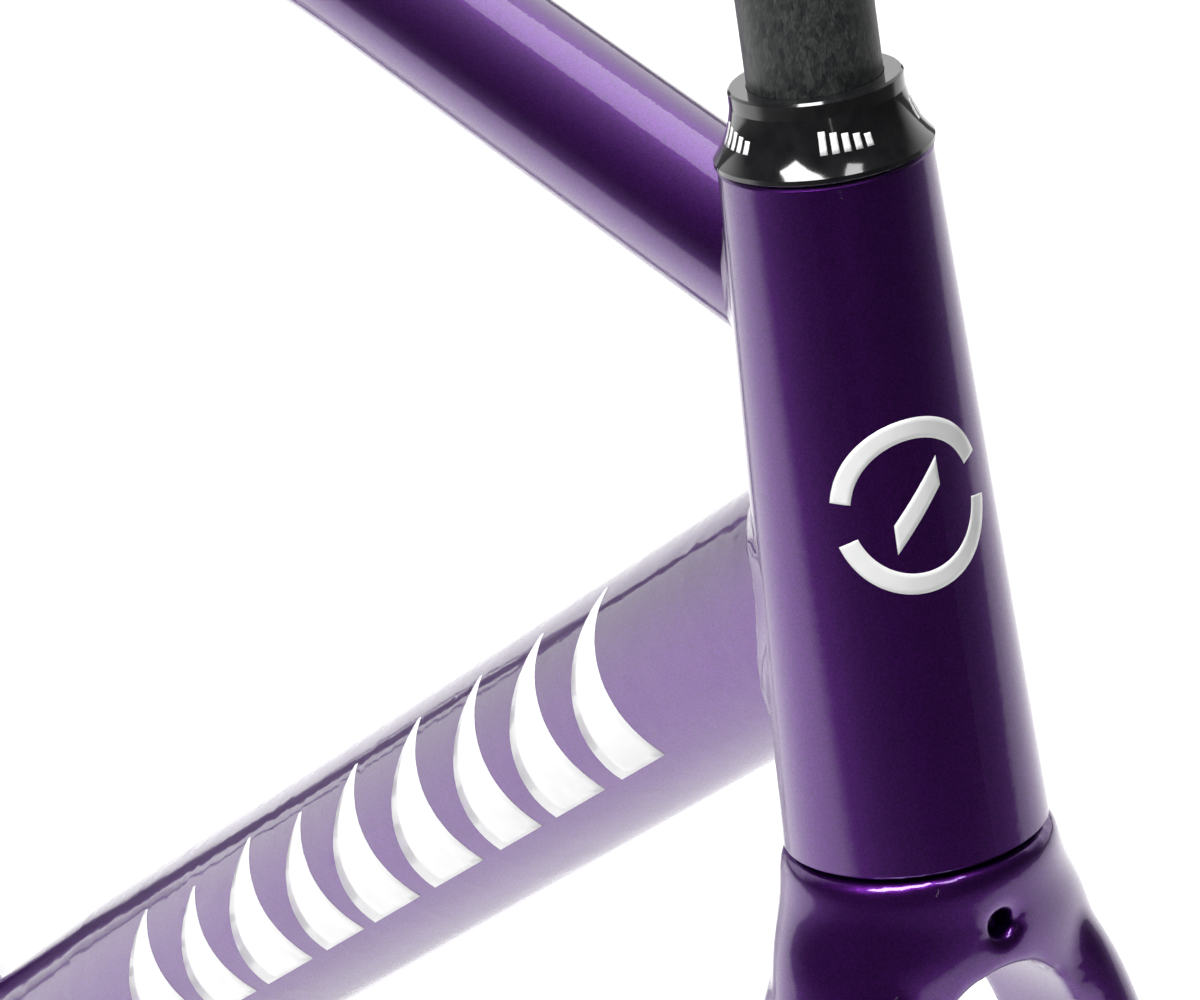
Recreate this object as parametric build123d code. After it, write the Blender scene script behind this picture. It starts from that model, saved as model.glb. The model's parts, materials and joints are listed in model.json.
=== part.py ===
"""BMX race frameset: welded alloy frame, carbon fork with a tapered steerer, and integrated headset.

Millimetres. The origin is the centre of the bottom bracket, +X points forward, +Y to the bike's left, +Z up.
Parts of the fork and headset are drawn in the steering frame, whose origin is the centre of the head tube's
lower end, with z up the steering axis, x square to it and forward, and y to the left.
"""
from build123d import *
import math
import os

os.makedirs("parts", exist_ok=True)

# ---- Frame geometry ----
HEAD_ANGLE = 74.0              # steering axis from the horizontal, degrees
SEAT_ANGLE = 72.0              # seat tube from the horizontal, degrees
REACH = 395.3                  # bottom bracket to the head tube's top centre, forward
STACK = 515.5                  # bottom bracket to the head tube's top centre, upward
CHAINSTAY_LENGTH = 390.0       # bottom bracket to the rear axle, axle blocks fully forward

# ---- Head tube ----
HEAD_LENGTH = 151.9
HEAD_TOP_RADIUS = 22.6
HEAD_BOTTOM_RADIUS = 28.8
HEAD_WALL = 3.0
HEAD_RIM_CHAMFER = 0.6

# ---- Main tubes ----
TOP_TUBE_DROP = 34.1           # head tube's top down to the top tube's axis, along the steering axis
TOP_TUBE_SLOPE = 0.8           # fall towards the rear of the straight front run, degrees
TOP_TUBE_RADIUS = 17.5
TOP_TUBE_REAR_RADIUS = 14.0
TOP_TUBE_WALL = 1.6
TOP_TUBE_CORNER = 300.0        # steering axis to the bend's corner
TOP_TUBE_BEND_RADIUS = 320.0
TOP_TUBE_MEETS_SEAT = 312.0    # bottom bracket to the top tube's axis, along the seat tube
DOWN_TUBE_DROP = 89.8          # head tube's top down to the down tube's axis, along the steering axis
DOWN_TUBE_HALF_HEIGHT = 27.4
DOWN_TUBE_HALF_WIDTH = 24.6
DOWN_TUBE_REAR_RADIUS = 22.4
DOWN_TUBE_STRAIGHT = 430.0     # length of the full section before it narrows
DOWN_TUBE_WALL = 1.8
SEAT_TUBE_RADIUS = 15.9
SEAT_CLAMP_MARGIN = 1.7        # top tube to the seat clamp, along the seat tube
SEATPOST_RADIUS = 13.6
SEATPOST_CLEARANCE = 0.05
SEATPOST_REAM = 110.0          # depth reamed for the seatpost
SEAT_TUBE_WALL = 1.3           # wall below the reamed length
SEAT_SLOT_WIDTH = 3.0
SEAT_SLOT_LENGTH = 26.0

# ---- Bottom bracket shell ----
SHELL_RADIUS = 23.5
SHELL_BORE_RADIUS = 20.5
SHELL_WIDTH = 86.5

# ---- Stays ----
CHAINSTAY_HALF_WIDTH = 7.0
CHAINSTAY_HALF_HEIGHT = 12.0
CHAINSTAY_WALL = 1.6
CHAINSTAY_START_OFFSET = 33.0  # stay's middle from the centre plane, at the shell
CHAINSTAY_TYRE_X = -100.0      # where the stay passes the tyre's front edge
CHAINSTAY_TYRE_OFFSET = 41.0
CHAINSTAY_END_RUN = 52.0       # straight run into the dropout
CHAINSTAY_BEND_RADIUS = 260.0
SEATSTAY_RADIUS = 7.5
SEATSTAY_WALL = 1.3
SEATSTAY_START_OFFSET = 8.2
SEATSTAY_MEETS_SEAT = 265.0    # bottom bracket to the stays' axes, along the seat tube
SEATSTAY_SPLAY = 76.0          # seat tube to the stays' outward bend
SEATSTAY_TYRE_OFFSET = 36.0
SEATSTAY_END_RUN = 40.0        # straight run into the dropout
SEATSTAY_BEND_RADIUS = 110.0
BRIDGE_RADIUS = 6.0
CHAINSTAY_BRIDGE_X = -72.0
SEATSTAY_BRIDGE_DISTANCE = 68.0
BRIDGE_WALL = 1.3

# ---- Rear dropouts and axle blocks ----
REAR_HUB_WIDTH = 110.0
DROPOUT_THICKNESS = 7.0
DROPOUT_HALF_HEIGHT = 16.0
DROPOUT_FRONT_LENGTH = 38.0    # rear axle to the chainstay's end
DROPOUT_REAR_WALL = 9.0
DROPOUT_CAP = 4.0              # plug under each stay's end
SEATSTAY_END = (24.0, 44.0)    # seatstay's lower end from the rear axle, forward and up
BLOCK_HALF_LENGTH = 11.0
BLOCK_HALF_HEIGHT = 10.0
BLOCK_TRAVEL = 12.0
BLOCK_CLEARANCE = 0.1
BLOCK_FLANGE = 2.6
BLOCK_FLANGE_LIP = 2.6
REAR_AXLE_RADIUS = 5.05
STUD_RADIUS = 2.5
STUD_CLEARANCE = 0.1
STUD_SEAT = 3.0                # stud length held in the block
NUT_WIDTH = 8.0
NUT_THICKNESS = 4.0
STUD_TAIL = 4.0                # stud past the nut

# ---- Brake bosses ----
BRAKE_BOSS_REACH = 228.0       # rear axle to the boss
BRAKE_BOSS_BASE_RADIUS = 7.0
BRAKE_BOSS_BASE_LENGTH = 13.0
BRAKE_BOSS_STUD_RADIUS = 4.0
BRAKE_BOSS_STUD_LENGTH = 16.0
BRAKE_BOSS_HOLE_RADIUS = 2.5
BRAKE_BOSS_HOLE_DEPTH = 14.0

# ---- Seat clamp ----
CLAMP_WALL = 4.2
CLAMP_HEIGHT = 14.0
CLAMP_EAR_REACH = 10.0
CLAMP_EAR_HALF_WIDTH = 8.0
CLAMP_GAP = 3.0
CLAMP_BOLT_RADIUS = 2.5
CLAMP_BOLT_CLEARANCE = 0.1
CLAMP_HEAD_RADIUS = 4.2
CLAMP_HEAD_LENGTH = 3.0
CLAMP_KEY_RADIUS = 2.0
CLAMP_NUT_RADIUS = 4.2
CLAMP_NUT_LENGTH = 2.6

# ---- Steerer ----
STEERER_RADIUS = 14.3
STEERER_WALL = 3.0
STEERER_LOWER_RADIUS = 19.9
STEERER_LOWER_WALL = 4.2
STEERER_TAPER_START = 14.0
STEERER_TAPER_END = 62.0
STEERER_ABOVE_COVER = 55.0
STEERER_SOCKET = 16.0          # depth bonded into the crown
LIMIT_RING_WIDTH = 1.2         # scribed ring that marks the lower end of the stem's clamping length
LIMIT_RING_DEPTH = 0.3

# ---- Headset ----
CROWN_GAP = 0.8                # head tube's lower end to the crown
BALL_RADIUS = 1.19
BALL_CLEARANCE = 0.05
BEARING_SEAT_CLEARANCE = 0.05
BEARING_HEIGHT = 7.0
RING_GAP = 1.0                 # space between a bearing's two rings
CAGE_CLEARANCE = 0.15
CAGE_HALF_HEIGHT = 1.9
UPPER_BEARING_OUTER = 20.9
UPPER_BEARING_INNER = 15.25
UPPER_BALLS = 24
UPPER_RECESS = 0.8             # bearing's top face below the head tube's top
LOWER_BEARING_OUTER = 26.0
LOWER_BEARING_INNER = 20.0
LOWER_BALLS = 30
LOWER_RECESS = 1.6             # bearing's bottom face above the head tube's lower end
SEAT_CHAMFER = 1.8             # 45 degree contact face at a bearing's outer corner
RACE_CHAMFER = 2.0             # 45 degree contact face at a bearing's inner corner
RACE_FLANGE_RADIUS = 25.4
RACE_FLANGE_HEIGHT = 1.6
SEAL_HEIGHT = 0.5
COMPRESSION_DEPTH = 4.5
COMPRESSION_RISE = 0.6
COMPRESSION_SLIT = 2.0
COVER_HEIGHT = 16.3
COVER_GAP = 0.4                # head tube's top to the cover
COVER_BOTTOM_RADIUS = 23.2
COVER_TOP_RADIUS = 18.4
COVER_BORE_CLEARANCE = 0.15
COVER_LIP = 1.5
COVER_NECK = 3.6
COVER_FLARE_SAG = 0.8
COVER_POCKET_INNER = 17.6
COVER_POCKET_OUTER = 21.6
COVER_POCKET_DEPTH = 2.6
COVER_SEAL_WIDTH = 1.0
COVER_SEAL_PROUD = 0.1

# ---- Fork ----
FORK_LENGTH = 393.6            # head tube's lower end to the axle, along the steering axis
FORK_OFFSET = 32.0
CROWN_LIP_RADIUS = 30.0
CROWN_LIP_DEPTH = 3.0
CROWN_DEPTH = 66.0             # head tube's lower end to the joint with the legs
ARCH_TOP = 26.0                # head tube's lower end to the arch's top
ARCH_HALF_WIDTH = 25.0
CROWN_HOLE_RADIUS = 3.25
CROWN_HOLE_DROP = 15.5
CROWN_HOLE_FLOOR = 21.0        # steering axis to the blind hole's floor
CROWN_HOLE_RIM_RADIUS = 4.2
CROWN_HOLE_RIM = 28.7          # steering axis to the rim's face
LEG_WALL = 2.6
FORK_NECK = 48.6               # leg's lower end to the axle
LEG_END = FORK_LENGTH - FORK_NECK
LEG_OVERRUN = 25.0             # extra length drawn past each joint, then trimmed
LEG_SECTIONS = [               # forward, left, up, half depth, half width of the left leg's ovals
    (0.0, 19.0, -20.0, 21.0, 11.5),
    (0.9, 30.0, -46.0, 22.4, 13.0),
    (2.0, 35.6, -CROWN_DEPTH, 21.6, 10.9),
    (7.5, 43.0, -0.406 * LEG_END, 18.5, 10.4),
    (15.5, 51.0, -0.681 * LEG_END, 15.5, 9.6),
    (26.0, 58.6, -LEG_END, 13.0, 8.6),
    (28.6, 60.4, -LEG_END - LEG_OVERRUN, 12.4, 8.4),
]
CROWN_SECTIONS = [             # up, half depth, half width of the crown's ovals
    (-CROWN_GAP, HEAD_BOTTOM_RADIUS, HEAD_BOTTOM_RADIUS + 0.02),
    (-CROWN_LIP_DEPTH, CROWN_LIP_RADIUS - 0.3, CROWN_LIP_RADIUS),
    (-9.0, 29.5, 31.4),
    (-16.0, 29.0, 34.0),
    (-25.0, 28.0, 37.4),
    (-36.0, 26.0, 40.6),
    (-48.0, 22.6, 43.0),
]
FRONT_HUB_WIDTH = 110.0
FRONT_AXLE_RADIUS = 10.05
FORK_BOSS_RADIUS = 17.0
FORK_BOSS_WIDTH = 12.0
FORK_NECK_INSET = 5.0          # boss's radius less the neck's half depth at the axle
FORK_SPIGOT = 18.0             # fork end's plug inside the leg
SPIGOT_CLEARANCE = 0.1
PINCH_SLIT = 2.0
PINCH_EAR_HALF_LENGTH = 12.0
PINCH_EAR_DROP = 28.0          # axle to the ears' lower face
PINCH_EAR_CORNER = 3.0
PINCH_BOLT_DROP = 21.5
PINCH_BOLT_RADIUS = 3.0
PINCH_BOLT_CLEARANCE = 0.1
PINCH_HEAD_RADIUS = 5.0
PINCH_HEAD_LENGTH = 5.0
PINCH_KEY_RADIUS = 2.5
PINCH_KEY_FLOOR = 2.0          # metal under the key socket

CENTRE = Align.CENTER
LOW = Align.MIN


# ---- Frames of reference ----
def slope_direction(degrees):
    """Unit vector in the centre plane, rising forward at an angle above the horizontal."""
    angle = math.radians(degrees)
    return Vector(math.cos(angle), 0, math.sin(angle))


STEER_UP = slope_direction(180 - HEAD_ANGLE)
STEER_FORWARD = slope_direction(90 - HEAD_ANGLE)
SEAT_UP = slope_direction(180 - SEAT_ANGLE)
HEAD_TOP = Vector(REACH, 0, STACK)
HEAD_BOTTOM = HEAD_TOP - STEER_UP * HEAD_LENGTH
STEERING = Plane(origin=HEAD_BOTTOM, x_dir=STEER_FORWARD, z_dir=STEER_UP)
REAR_AXLE = Vector(-CHAINSTAY_LENGTH, 0, 0)
FRONT_AXLE = STEERING.from_local_coords(Vector(FORK_OFFSET, 0, -FORK_LENGTH))


def top_tube_start():
    """Where the top tube's axis meets the steering axis."""
    return HEAD_TOP - STEER_UP * TOP_TUBE_DROP


def top_tube_corner():
    """Corner of the top tube's axis before its bend is rounded."""
    return top_tube_start() - slope_direction(TOP_TUBE_SLOPE) * TOP_TUBE_CORNER


def seat_tube_length():
    """Bottom bracket to the seat tube's top, which leaves room for the clamp above the top tube."""
    rear_run = top_tube_corner() - SEAT_UP * TOP_TUBE_MEETS_SEAT
    angle = math.radians(rear_run.get_angle(SEAT_UP))
    clamp_reach = SEAT_TUBE_RADIUS + CLAMP_WALL
    rise = TOP_TUBE_REAR_RADIUS / math.sin(angle) + clamp_reach / math.tan(angle)
    return TOP_TUBE_MEETS_SEAT + rise + SEAT_CLAMP_MARGIN + CLAMP_HEIGHT


SEAT_TUBE_LENGTH = seat_tube_length()


# ---- Shared shapes ----
def rod(start, end, radius):
    """Solid round bar from one point to another."""
    run = end - start
    shape = Cylinder(radius, run.length, align=(CENTRE, CENTRE, LOW))
    return Plane(origin=start, z_dir=run.normalized()) * shape


def taper(start, end, start_radius, end_radius):
    """Solid cone frustum from one point to another."""
    run = end - start
    shape = Cone(start_radius, end_radius, run.length, align=(CENTRE, CENTRE, LOW))
    return Plane(origin=start, z_dir=run.normalized()) * shape


def turned(points):
    """Solid of revolution about z from a closed outline of (radius, height) points."""
    outline = Wire.make_polygon([Vector(r, 0, z) for r, z in points], close=True)
    return revolve(Face(outline), Axis.Z, 360)


def ellipse_at(x, y, z, half_x, half_y):
    """Elliptical section square to z."""
    return Plane(origin=(x, y, z)) * Ellipse(half_x, half_y)


def mirrored(shape):
    """The same shape on the other side of the centre plane."""
    return mirror(shape, about=Plane.XZ)


def in_steering(shape):
    """Move a shape from the steering frame to the bike's frame."""
    return STEERING.location * shape


def box_between(low, high):
    """Block between two corners."""
    size = [b - a for a, b in zip(low, high)]
    middle = [(a + b) / 2 for a, b in zip(low, high)]
    return Pos(*middle) * Box(*size)


# ---- Head tube ----
def head_radius(height):
    """Outer radius of the head tube at a height above its lower end."""
    return HEAD_BOTTOM_RADIUS + (HEAD_TOP_RADIUS - HEAD_BOTTOM_RADIUS) * height / HEAD_LENGTH


def head_solid():
    """The head tube without its bore, for mitring the tubes that meet it."""
    return in_steering(turned([
        (0, 0),
        (HEAD_BOTTOM_RADIUS, 0),
        (HEAD_TOP_RADIUS, HEAD_LENGTH),
        (0, HEAD_LENGTH),
    ]))


def head_tube():
    """Tapered tube with a 45 degree bearing seat cut in each end."""
    upper_seat = UPPER_BEARING_OUTER + BEARING_SEAT_CLEARANCE
    lower_seat = LOWER_BEARING_OUTER + BEARING_SEAT_CLEARANCE
    upper_ledge = HEAD_LENGTH - UPPER_RECESS - BEARING_HEIGHT
    lower_ledge = LOWER_RECESS + BEARING_HEIGHT
    upper_bore = UPPER_BEARING_OUTER - SEAT_CHAMFER - HEAD_RIM_CHAMFER
    lower_bore = LOWER_BEARING_OUTER - SEAT_CHAMFER - HEAD_RIM_CHAMFER
    upper_cone = upper_seat - upper_bore
    lower_cone = lower_seat - lower_bore
    return in_steering(turned([
        (lower_seat, 0),
        (HEAD_BOTTOM_RADIUS - HEAD_RIM_CHAMFER, 0),
        (head_radius(HEAD_RIM_CHAMFER), HEAD_RIM_CHAMFER),
        (head_radius(HEAD_LENGTH - HEAD_RIM_CHAMFER), HEAD_LENGTH - HEAD_RIM_CHAMFER),
        (HEAD_TOP_RADIUS - HEAD_RIM_CHAMFER, HEAD_LENGTH),
        (upper_seat, HEAD_LENGTH),
        (upper_seat, upper_ledge + SEAT_CHAMFER),
        (upper_bore, upper_ledge + SEAT_CHAMFER - upper_cone),
        (head_radius(HEAD_LENGTH) - HEAD_WALL - 1.0, upper_ledge - HEAD_WALL),
        (lower_bore, lower_ledge - SEAT_CHAMFER + lower_cone),
        (lower_seat, lower_ledge - SEAT_CHAMFER),
    ]))


# ---- Main tubes ----
def top_tube_body(front_radius, rear_radius):
    """Bent bar on the top tube's axis, straight behind the head tube and narrowing after the bend."""
    start = top_tube_start()
    corner = top_tube_corner()
    end = SEAT_UP * TOP_TUBE_MEETS_SEAT
    rear_run = (end - corner).normalized()
    turn = math.radians(rear_run.get_angle(corner - start))
    tangent = corner + rear_run * TOP_TUBE_BEND_RADIUS * math.tan(turn / 2)
    points = [(p.X, p.Z) for p in (start, corner, tangent + rear_run * 5)]
    path = Plane.XZ * FilletPolyline(*points, radius=TOP_TUBE_BEND_RADIUS)
    section = Plane(origin=path @ 0, z_dir=path % 0) * Circle(front_radius)
    return sweep(section, path=path) + taper(tangent + rear_run * 5, end, front_radius, rear_radius)


def top_tube():
    """Hydroformed top tube, mitred to the head tube and the seat tube."""
    outer = top_tube_body(TOP_TUBE_RADIUS, TOP_TUBE_REAR_RADIUS)
    inner = top_tube_body(TOP_TUBE_RADIUS - TOP_TUBE_WALL, TOP_TUBE_REAR_RADIUS - TOP_TUBE_WALL)
    return outer - inner - head_solid() - seat_solid()


def down_tube_body(inset):
    """Oval bar from the steering axis to the bottom bracket, inset by a wall."""
    start = HEAD_TOP - STEER_UP * DOWN_TUBE_DROP
    along = Plane(origin=start, x_dir=(0, 1, 0), z_dir=(Vector(0, 0, 0) - start).normalized())
    length = start.length
    full = (DOWN_TUBE_HALF_WIDTH - inset, DOWN_TUBE_HALF_HEIGHT - inset)
    rear = DOWN_TUBE_REAR_RADIUS - inset
    front = loft([along.offset(distance) * Ellipse(*full) for distance in (0, DOWN_TUBE_STRAIGHT)])
    narrowing = loft([
        along.offset(DOWN_TUBE_STRAIGHT) * Ellipse(*full),
        along.offset(length) * Ellipse(rear - 0.01, rear),
    ])
    return front + narrowing


def down_tube():
    """Oval down tube, mitred to the head tube, the shell and the seat tube."""
    hollow = down_tube_body(0) - down_tube_body(DOWN_TUBE_WALL)
    return hollow - head_solid() - shell_solid() - seat_solid()


def shell_solid():
    """The bottom bracket shell without its bore."""
    half = Vector(0, SHELL_WIDTH / 2, 0)
    return rod(half * -1, half, SHELL_RADIUS)


def bb_shell():
    """Plain-bore bottom bracket shell."""
    half = Vector(0, SHELL_WIDTH / 2, 0)
    return shell_solid() - rod(half * -1, half, SHELL_BORE_RADIUS)


def seat_solid():
    """The seat tube without its bore."""
    return rod(Vector(0, 0, 0), SEAT_UP * SEAT_TUBE_LENGTH, SEAT_TUBE_RADIUS)


def seat_plane():
    """Plane at the seat tube's top, with x pointing rearward and z up the tube."""
    rearward = slope_direction(90 - SEAT_ANGLE) * -1
    return Plane(origin=SEAT_UP * SEAT_TUBE_LENGTH, x_dir=rearward, z_dir=SEAT_UP)


def seat_tube():
    """Seat tube, reamed for the seatpost at its top, with a clamping slot at the back."""
    ream_end = SEAT_UP * (SEAT_TUBE_LENGTH - SEATPOST_REAM)
    ream = rod(ream_end, SEAT_UP * SEAT_TUBE_LENGTH, SEATPOST_RADIUS + SEATPOST_CLEARANCE)
    bore = rod(Vector(0, 0, 0), ream_end, SEAT_TUBE_RADIUS - SEAT_TUBE_WALL)
    half_slot = SEAT_SLOT_WIDTH / 2
    slot = box_between((0, -half_slot, -SEAT_SLOT_LENGTH), (SEAT_TUBE_RADIUS + 1, half_slot, 1))
    return seat_solid() - bore - ream - seat_plane().location * slot - shell_solid()


# ---- Stays ----
def stay_end_offset():
    """Middle of the dropout plate from the centre plane."""
    return REAR_HUB_WIDTH / 2 + DROPOUT_THICKNESS / 2


def chainstay_end_x():
    """Where the chainstay meets its dropout."""
    return REAR_AXLE.X + DROPOUT_FRONT_LENGTH


def chainstay_body(inset):
    """Bent oval bar from the shell to the left dropout."""
    end_x = chainstay_end_x()
    points = [
        (0, CHAINSTAY_START_OFFSET),
        (CHAINSTAY_TYRE_X, CHAINSTAY_TYRE_OFFSET),
        (end_x + CHAINSTAY_END_RUN, stay_end_offset()),
        (end_x, stay_end_offset()),
    ]
    path = FilletPolyline(*points, radius=CHAINSTAY_BEND_RADIUS)
    start = Plane(origin=path @ 0, x_dir=(0, 0, 1), z_dir=path % 0)
    return sweep(start * Ellipse(CHAINSTAY_HALF_HEIGHT - inset, CHAINSTAY_HALF_WIDTH - inset), path=path)


def chainstay_left():
    """Flattened chainstay, mitred to the shell."""
    return chainstay_body(0) - chainstay_body(CHAINSTAY_WALL) - shell_solid()


def seatstay_start():
    """Where the seatstays' plane meets the seat tube's axis."""
    return SEAT_UP * SEATSTAY_MEETS_SEAT


def seatstay_end():
    """Lower end of the seatstays in the centre plane."""
    return REAR_AXLE + Vector(SEATSTAY_END[0], 0, SEATSTAY_END[1])


def seatstay_direction():
    """Unit vector down the seatstays in the centre plane."""
    return (seatstay_end() - seatstay_start()).normalized()


def seatstay_plane():
    """Slanted plane that holds both seatstays, with x down the stays and y to the left."""
    down = seatstay_direction()
    return Plane(origin=seatstay_start(), x_dir=down, z_dir=down.cross(Vector(0, 1, 0)))


def seatstay_body(radius):
    """Bent round bar from the seat tube to the left dropout."""
    length = (seatstay_end() - seatstay_start()).length
    points = [
        (0, SEATSTAY_START_OFFSET),
        (SEATSTAY_SPLAY, SEATSTAY_TYRE_OFFSET),
        (length - SEATSTAY_END_RUN, stay_end_offset()),
        (length, stay_end_offset()),
    ]
    path = seatstay_plane() * FilletPolyline(*points, radius=SEATSTAY_BEND_RADIUS)
    return sweep(Plane(origin=path @ 0, z_dir=path % 0) * Circle(radius), path=path)


def seatstay_left():
    """Round seatstay, mitred to the seat tube."""
    return seatstay_body(SEATSTAY_RADIUS) - seatstay_body(SEATSTAY_RADIUS - SEATSTAY_WALL) - seat_solid()


def bridge(middle, reach, stay):
    """Cross tube between a stay and its mirror image."""
    half = Vector(0, reach, 0)
    outer = rod(middle - half, middle + half, BRIDGE_RADIUS)
    inner = rod(middle - half, middle + half, BRIDGE_RADIUS - BRIDGE_WALL)
    return outer - inner - stay - mirrored(stay)


def chainstay_bridge():
    """Cross tube behind the bottom bracket."""
    return bridge(Vector(CHAINSTAY_BRIDGE_X, 0, 0), CHAINSTAY_TYRE_OFFSET - 2, chainstay_body(0))


def seatstay_bridge():
    """Cross tube between the seatstays, over the tyre."""
    middle = seatstay_start() + seatstay_direction() * SEATSTAY_BRIDGE_DISTANCE
    share = SEATSTAY_BRIDGE_DISTANCE / SEATSTAY_SPLAY
    reach = SEATSTAY_START_OFFSET + (SEATSTAY_TYRE_OFFSET - SEATSTAY_START_OFFSET) * share
    return bridge(middle, reach - 1, seatstay_body(SEATSTAY_RADIUS))


# ---- Brake bosses ----
def brake_boss_distance():
    """Distance down the seatstays at which they pass the brake bosses' reach from the rear axle."""
    to_start = seatstay_start() - REAR_AXLE
    along = to_start.dot(seatstay_direction())
    return -along - math.sqrt(along ** 2 - to_start.length ** 2 + BRAKE_BOSS_REACH ** 2)


def brake_boss_left():
    """Pivot stud on the back of the left seatstay, with a threaded end."""
    length = (seatstay_end() - seatstay_start()).length
    share = (brake_boss_distance() - SEATSTAY_SPLAY) / (length - SEATSTAY_END_RUN - SEATSTAY_SPLAY)
    offset = SEATSTAY_TYRE_OFFSET + (stay_end_offset() - SEATSTAY_TYRE_OFFSET) * share
    foot = seatstay_plane().from_local_coords(Vector(brake_boss_distance(), offset, 0))
    outward = seatstay_direction().cross(Vector(0, 1, 0))
    outward = outward if outward.X < 0 else outward * -1
    base_end = foot + outward * BRAKE_BOSS_BASE_LENGTH
    stud_end = base_end + outward * BRAKE_BOSS_STUD_LENGTH
    boss = rod(foot, base_end, BRAKE_BOSS_BASE_RADIUS) + rod(base_end, stud_end, BRAKE_BOSS_STUD_RADIUS)
    hole = rod(stud_end - outward * BRAKE_BOSS_HOLE_DEPTH, stud_end, BRAKE_BOSS_HOLE_RADIUS)
    return boss - hole - seatstay_body(SEATSTAY_RADIUS)


# ---- Rear dropouts ----
def window_front():
    """Front end of the dropout's window."""
    return REAR_AXLE.X + BLOCK_HALF_LENGTH + BLOCK_CLEARANCE


def window_rear():
    """Rear end of the dropout's window."""
    return REAR_AXLE.X - BLOCK_TRAVEL - BLOCK_HALF_LENGTH - BLOCK_CLEARANCE


def dropout_left():
    """Left dropout: windowed plate for the axle block, arm to the seatstay and a plug under each stay."""
    inner = REAR_HUB_WIDTH / 2
    outer = inner + DROPOUT_THICKNESS
    middle = stay_end_offset()
    rear_x = window_rear() - DROPOUT_REAR_WALL
    front_x = chainstay_end_x()
    plate = box_between(
        (rear_x, inner, -DROPOUT_HALF_HEIGHT),
        (front_x - DROPOUT_CAP, outer, DROPOUT_HALF_HEIGHT),
    )
    plate = fillet(plate.edges().filter_by(Axis.Y).group_by(Axis.X)[0], DROPOUT_THICKNESS)
    cap_plane = Plane(origin=(front_x, middle, 0), x_dir=(0, 0, 1), z_dir=(-1, 0, 0))
    cap = extrude(cap_plane * Ellipse(CHAINSTAY_HALF_HEIGHT, CHAINSTAY_HALF_WIDTH), amount=DROPOUT_CAP)
    top = seatstay_end() + Vector(0, middle, 0)
    down = seatstay_direction()
    stay_cap = rod(top, top + down * DROPOUT_CAP, SEATSTAY_RADIUS)
    arm_length = SEATSTAY_END[1] / abs(down.Z) - DROPOUT_HALF_HEIGHT
    arm_plane = Plane(origin=top + down * (DROPOUT_CAP + arm_length) / 2, x_dir=down, z_dir=(0, 1, 0))
    arm = arm_plane.location * Box(arm_length - DROPOUT_CAP, 2 * SEATSTAY_RADIUS, DROPOUT_THICKNESS)
    window = box_between(
        (window_rear(), inner - 1, -BLOCK_HALF_HEIGHT - BLOCK_CLEARANCE),
        (window_front(), outer + 1, BLOCK_HALF_HEIGHT + BLOCK_CLEARANCE),
    )
    hole_end = Vector(window_rear() + 1, middle, 0)
    hole = rod(Vector(rear_x - 1, middle, 0), hole_end, STUD_RADIUS + STUD_CLEARANCE)
    return plate + cap + stay_cap + arm - window - hole


def axle_block_left():
    """Sliding block that holds the axle, with a flange outside the dropout."""
    inner = REAR_HUB_WIDTH / 2
    outer = inner + DROPOUT_THICKNESS + BLOCK_CLEARANCE
    axle = REAR_AXLE.X
    body = box_between(
        (axle - BLOCK_HALF_LENGTH, inner, -BLOCK_HALF_HEIGHT),
        (axle + BLOCK_HALF_LENGTH, outer, BLOCK_HALF_HEIGHT),
    )
    flange = box_between(
        (axle - BLOCK_HALF_LENGTH, outer, -BLOCK_HALF_HEIGHT - BLOCK_FLANGE_LIP),
        (axle + BLOCK_HALF_LENGTH, outer + BLOCK_FLANGE, BLOCK_HALF_HEIGHT + BLOCK_FLANGE_LIP),
    )
    flange = fillet(flange.edges().filter_by(Axis.Y), BLOCK_FLANGE_LIP)
    bore = rod(Vector(axle, inner - 1, 0), Vector(axle, outer + BLOCK_FLANGE + 1, 0), REAR_AXLE_RADIUS)
    return body + flange - bore - adjuster_stud_left()


def adjuster_stud_left():
    """Threaded stud fixed in the block, passing out through the dropout's rear wall."""
    start_x = REAR_AXLE.X - BLOCK_HALF_LENGTH + STUD_SEAT
    end_x = window_rear() - DROPOUT_REAR_WALL - NUT_THICKNESS - STUD_TAIL
    return rod(Vector(start_x, stay_end_offset(), 0), Vector(end_x, stay_end_offset(), 0), STUD_RADIUS)


def adjuster_nut_left():
    """Hexagonal nut that bears on the dropout's rear face."""
    face_x = window_rear() - DROPOUT_REAR_WALL - BLOCK_CLEARANCE
    plane = Plane(origin=(face_x, stay_end_offset(), 0), x_dir=(0, 0, 1), z_dir=(-1, 0, 0))
    hexagon = plane * RegularPolygon(NUT_WIDTH / 2, 6, major_radius=False)
    near = Vector(face_x, stay_end_offset(), 0)
    far = Vector(face_x - NUT_THICKNESS, stay_end_offset(), 0)
    return extrude(hexagon, amount=NUT_THICKNESS) - rod(near, far, STUD_RADIUS + STUD_CLEARANCE)


# ---- Seat clamp, drawn on the plane at the seat tube's top ----
def clamp_bolt_place():
    """Middle of the clamp bolt on the seat plane: rearward, left, up."""
    rearward = SEAT_TUBE_RADIUS + CLAMP_WALL + CLAMP_EAR_REACH / 2
    return rearward, -CLAMP_HEIGHT / 2


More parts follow.
